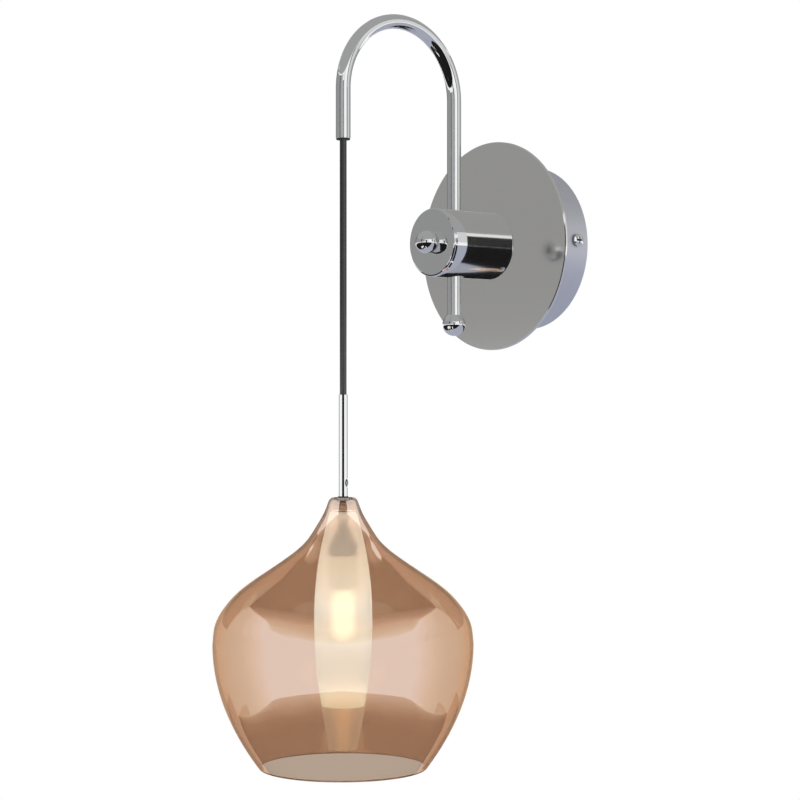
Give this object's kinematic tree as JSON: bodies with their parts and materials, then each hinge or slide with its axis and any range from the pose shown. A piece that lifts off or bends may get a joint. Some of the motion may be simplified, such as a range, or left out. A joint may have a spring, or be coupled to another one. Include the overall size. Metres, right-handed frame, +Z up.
{
  "type": "wall sconce",
  "caption": "Wall sconce with a round chrome plate, a crook arm clamped in a horizontal holder, and a cord pendant with a tinted bell shade round a frosted inner glass.",
  "frame": {"origin": "midway between the two wall slots, on the wall plane and on the drum's axis", "axes": "+Z up; -Y out of the wall towards the room; X along the wall; the arm and the pendant lie in the plane X = 0 at rest"},
  "size_m": [0.15, 0.2245, 0.4378],
  "materials": {
    "chrome": "polished",
    "satin_chrome": "satin",
    "drum_chrome": "satin",
    "zinc_steel": "zinc plated",
    "brass": "bright",
    "nylon": "matt",
    "rubber": "matt",
    "cord_sheath": "smooth",
    "core_sheath": "smooth",
    "copper_glass": "half-mirrored copper",
    "frosted_glass": "frosted",
    "clear_gasket": "clear",
    "ceramic": "unglazed",
    "bulb_glass": "clear",
    "bulb_metal": "plain",
    "filament": "plain"
  },
  "bodies": {
    "wall": {"wall_plate": "zinc_steel", "canopy": "drum_chrome", "canopy_screws": "chrome", "front_disc": "satin_chrome", "terminal_block": "nylon", "terminal_inserts": "brass", "terminal_screws": "zinc_steel", "earth_screw": "brass", "nipple": "zinc_steel", "nipple_nut": "zinc_steel", "lock_washer": "zinc_steel", "holder": "chrome", "holder_grub": "zinc_steel", "holder_cap": "chrome", "feed_wires": "core_sheath"},
    "pad": {"clamp_pad": "brass"},
    "knob": {"clamp_stud": "chrome", "clamp_knob": "chrome"},
    "liner": {"arm_liner": "nylon", "liner_clips": "zinc_steel", "link_wires": "core_sheath"},
    "arm": {"arm_tube": "chrome", "end_ball": "chrome", "cord_bush": "rubber", "cord_anchor": "brass", "arm_lead": "cord_sheath"},
    "grip": {"cord_grip": "rubber"},
    "pendant": {"hanging_cord": "cord_sheath", "stem": "chrome", "stem_screw": "chrome", "top_washer": "clear_gasket", "threaded_rod": "zinc_steel", "shade": "copper_glass", "neck_washer": "clear_gasket", "neck_nut": "chrome", "seat_washer": "clear_gasket", "inner_glass": "frosted_glass", "inner_washer": "clear_gasket", "jam_nut": "zinc_steel", "socket_cup": "zinc_steel", "cup_screws": "zinc_steel", "ceramic_socket": "ceramic", "socket_wires": "core_sheath", "bulb_glass": "bulb_glass", "bulb_pins": "bulb_metal", "filament": "filament"}
  },
  "joints": [
    {"name": "clamp_travel", "type": "slide", "parent": "wall", "child": "pad", "axis": [0, -1, 0], "range_m": [0, 0.0016]},
    {"name": "clamp_turn", "type": "hinge", "parent": "pad", "child": "knob", "pos_m": [0, -0.08, 0], "axis": [0, -1, 0], "range_deg": [0, 720]},
    {"name": "arm_swivel", "type": "hinge", "parent": "wall", "child": "liner", "pos_m": [0, -0.0635, 0], "axis": [0, 0, 1], "range_deg": [-60, 60]},
    {"name": "arm_height", "type": "slide", "parent": "liner", "child": "arm", "axis": [0, 0, 1], "range_m": [0, 0.012], "deforming": ["link_wires"]},
    {"name": "swing_out", "type": "hinge", "parent": "arm", "child": "grip", "pos_m": [0, -0.1495, 0.058], "axis": [1, 0, 0], "range_deg": [-13, 13]},
    {"name": "swing_side", "type": "hinge", "parent": "grip", "child": "pendant", "pos_m": [0, -0.1495, 0.058], "axis": [0, 1, 0], "range_deg": [-13, 13]}
  ],
  "couplings": [
    {"joint": "clamp_travel", "follows": "clamp_turn", "m_per_rad": 0.00012732}
  ]
}
